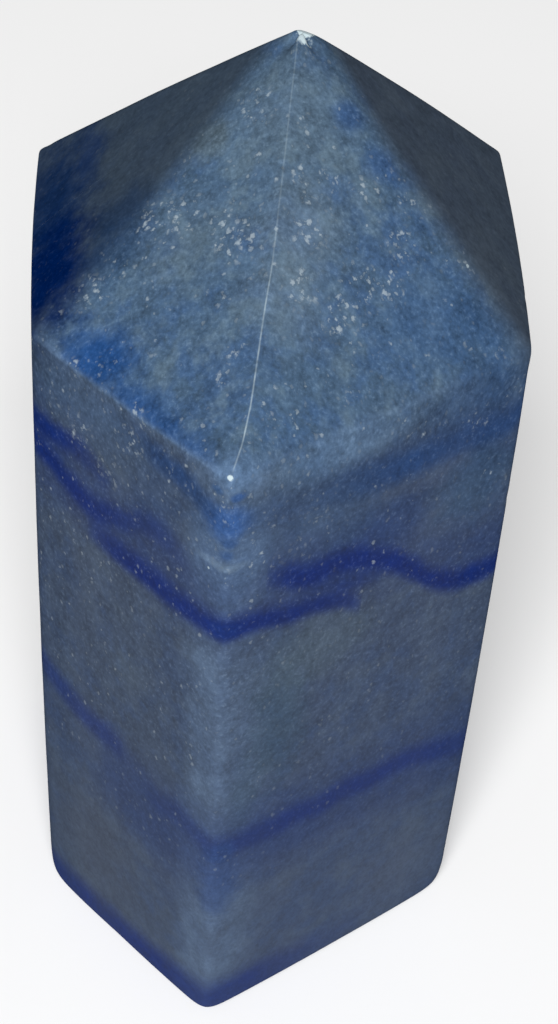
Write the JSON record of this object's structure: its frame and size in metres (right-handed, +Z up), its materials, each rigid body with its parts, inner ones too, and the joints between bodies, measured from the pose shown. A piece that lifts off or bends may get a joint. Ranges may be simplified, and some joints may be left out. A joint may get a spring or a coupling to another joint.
{
  "type": "dumortierite point",
  "caption": "Hand-cut polished stone tower: a slightly irregular hexagonal column with a faceted pyramid tip, softly rounded edges and a flat base it stands on.",
  "frame": {"origin": "centre of the plan box, on the flat base", "axes": "+Z up the column to the tip; -Y towards the column corner that carries the crisp tip edge"},
  "size_m": [0.0374, 0.0494, 0.0798],
  "materials": {
    "blue_stone": "satin polish, fine grained, banded blue and grey"
  },
  "bodies": {
    "root": {"polished_point": "blue_stone"}
  },
  "joints": []
}
